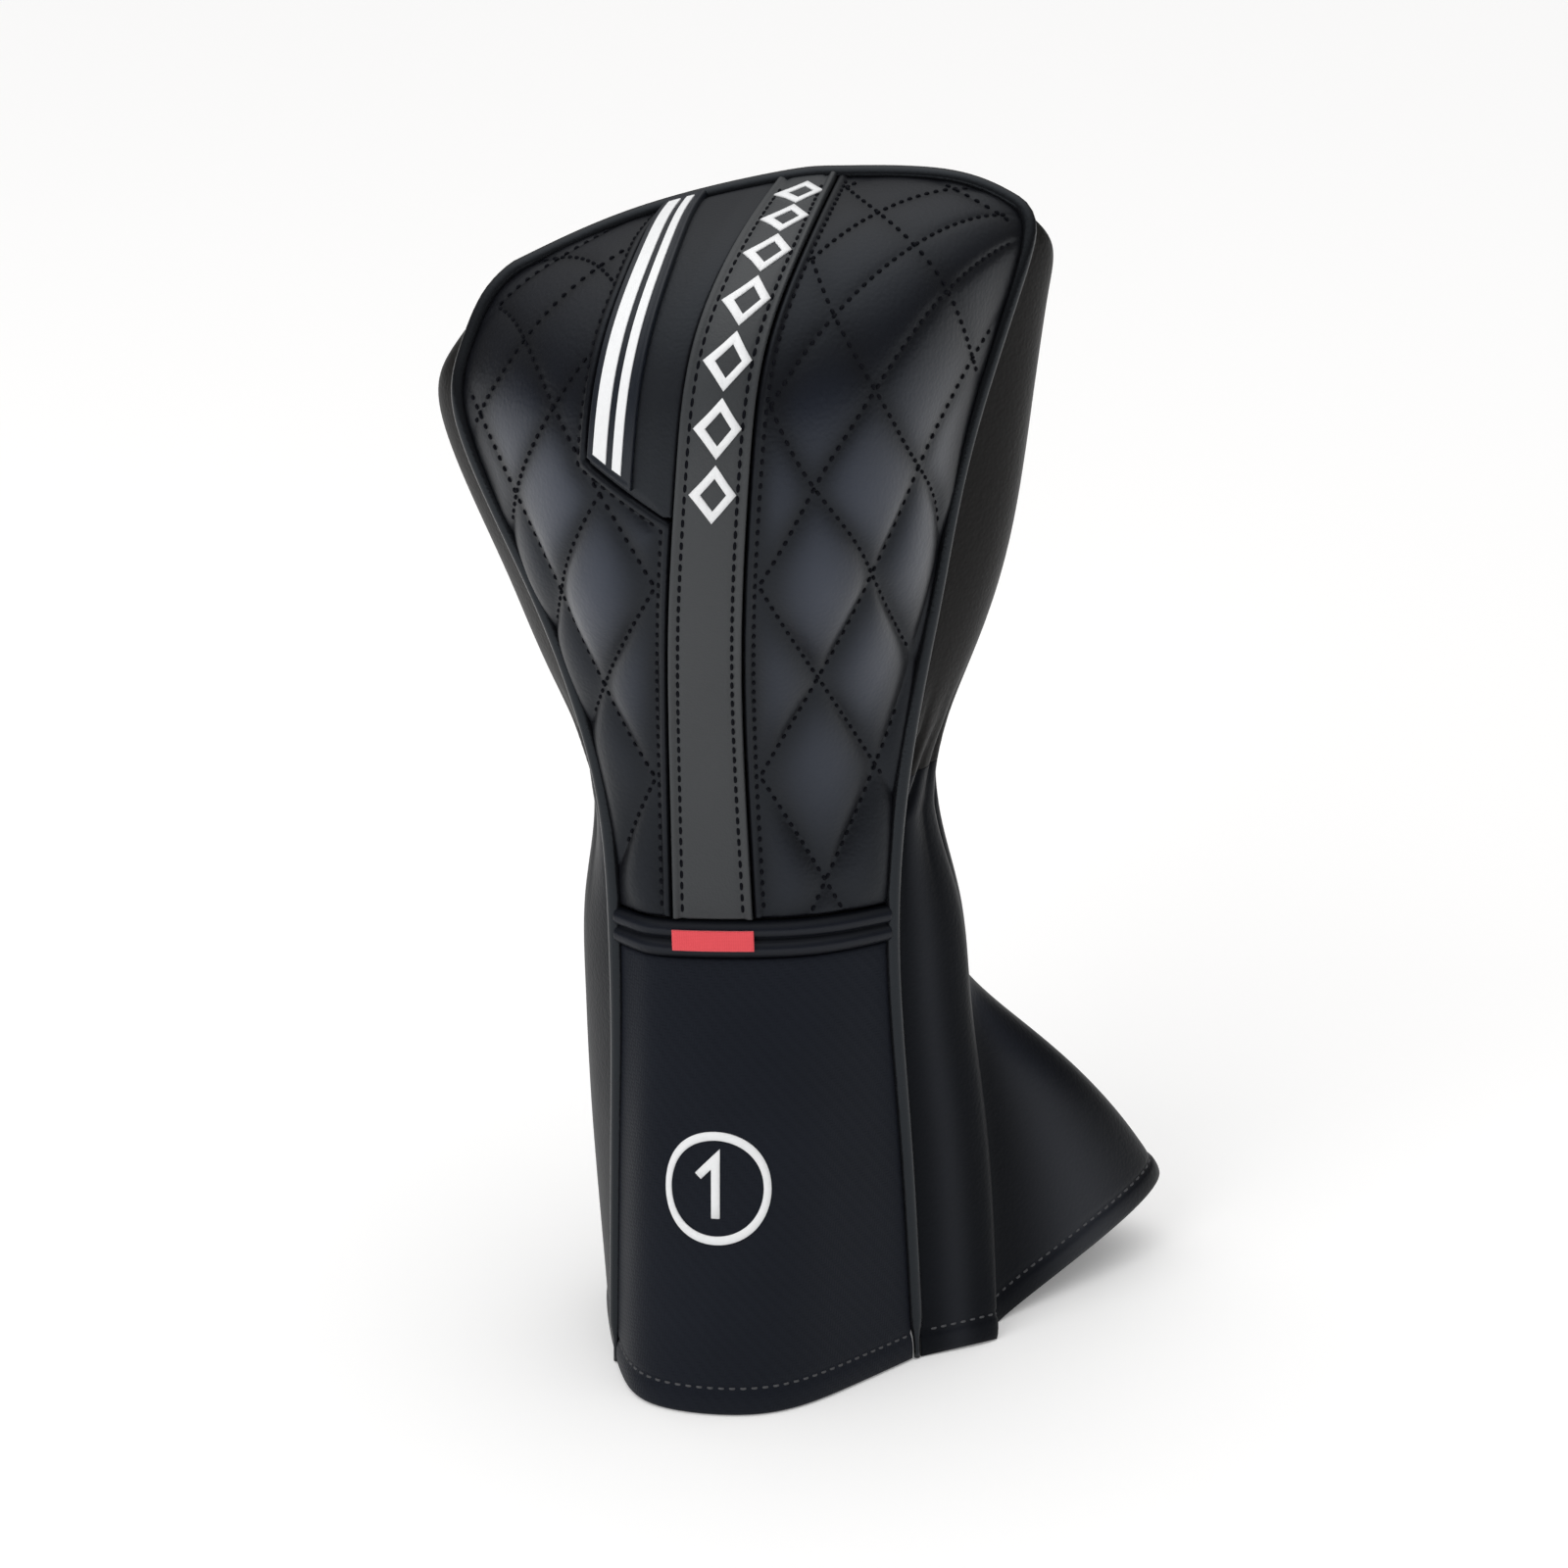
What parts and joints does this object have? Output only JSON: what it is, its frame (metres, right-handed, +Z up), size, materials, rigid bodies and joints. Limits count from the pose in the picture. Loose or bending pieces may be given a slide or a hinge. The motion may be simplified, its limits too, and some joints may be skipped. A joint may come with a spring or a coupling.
{
  "type": "driver head cover",
  "caption": "Padded golf driver head cover with quilted front panels, a centre band, piped seam, elastic neck and a flared sleeve that slips over the club head.",
  "frame": {"origin": "middle of the footprint on the surface that the hem stands on", "axes": "+Z up from the hem to the ridge, front face towards -Y, flared skirt corner towards +X and +Y"},
  "size_m": [0.2029, 0.1351, 0.3302],
  "materials": {
    "quilt_leather": "soft satin synthetic leather, quilted",
    "band_leather": "satin synthetic leather, charcoal",
    "sleeve_leather": "satin synthetic leather, near black",
    "patch_rubber": "moulded satin rubber, dark navy",
    "white_print": "raised white print film",
    "red_tab_cloth": "woven coral red tab",
    "piping_leather": "satin black piping",
    "lining_fleece": "brushed fleece",
    "padding_foam": "open-cell padding foam",
    "elastic_webbing": "woven elastic webbing"
  },
  "bodies": {
    "cover": {"quilt_right": "quilt_leather", "quilt_left": "quilt_leather", "emblem_panel": "quilt_leather", "center_band": "band_leather", "lower_front_panel": "sleeve_leather", "welt_band": "sleeve_leather", "side_panel_right": "sleeve_leather", "side_panel_left": "sleeve_leather", "back_panel": "sleeve_leather", "skirt_side_right": "sleeve_leather", "skirt_side_left": "sleeve_leather", "emblem_patch": "patch_rubber", "emblem_stripe_outer": "white_print", "emblem_stripe_inner": "white_print", "badge_ring": "white_print", "badge_numeral": "white_print", "band_mark_1": "white_print", "band_mark_2": "white_print", "band_mark_3": "white_print", "band_mark_4": "white_print", "band_mark_5": "white_print", "band_mark_6": "white_print", "band_mark_7": "white_print", "red_tab": "red_tab_cloth", "piping": "piping_leather", "front_lining_head": "lining_fleece", "front_lining_skirt": "lining_fleece", "back_lining_head": "lining_fleece", "foam_pad_right": "padding_foam", "foam_pad_left": "padding_foam", "neck_elastic": "elastic_webbing"},
    "rear_skirt": {"rear_skirt_panel": "sleeve_leather", "rear_skirt_lining": "lining_fleece"}
  },
  "joints": [
    {"name": "skirt_flare", "type": "hinge", "parent": "cover", "child": "rear_skirt", "pos_m": [0, 0.02327, 0.17265], "axis": [1, 0, 0], "range_deg": [-12, 0], "deforming": ["skirt_side_right", "skirt_side_left"]}
  ]
}
